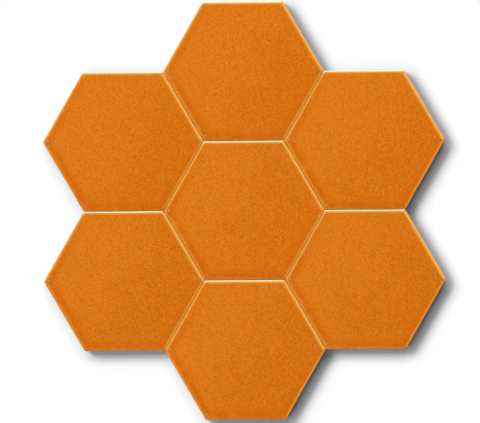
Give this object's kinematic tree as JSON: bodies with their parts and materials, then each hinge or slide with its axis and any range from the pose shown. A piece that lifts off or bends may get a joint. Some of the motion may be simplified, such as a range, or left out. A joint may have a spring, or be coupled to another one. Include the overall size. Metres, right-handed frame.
{
  "type": "hexagonal wall tile set",
  "caption": "Rosette of orange glazed hexagonal ceramic tiles with cushioned edges and ribbed backs, laid edge to edge round a centre tile to face a wall, splashback or table top.",
  "frame": {"origin": "on the bedding plane, under the middle of the centre tile", "axes": "+Z out of the glazed faces, +Y towards the north tile, +X towards the gap between the two east tiles"},
  "size_m": [0.2928, 0.3046, 0.008],
  "materials": {
    "clay": "matt fired clay, unglazed",
    "glaze": "glossy orange glaze, finely mottled"
  },
  "bodies": {
    "root": {"clay_body_centre": "clay", "glaze_coat_centre": "glaze", "clay_body_north": "clay", "glaze_coat_north": "glaze", "clay_body_north_east": "clay", "glaze_coat_north_east": "glaze", "clay_body_south_east": "clay", "glaze_coat_south_east": "glaze", "clay_body_south": "clay", "glaze_coat_south": "glaze", "clay_body_south_west": "clay", "glaze_coat_south_west": "glaze", "clay_body_north_west": "clay", "glaze_coat_north_west": "glaze"}
  },
  "joints": []
}
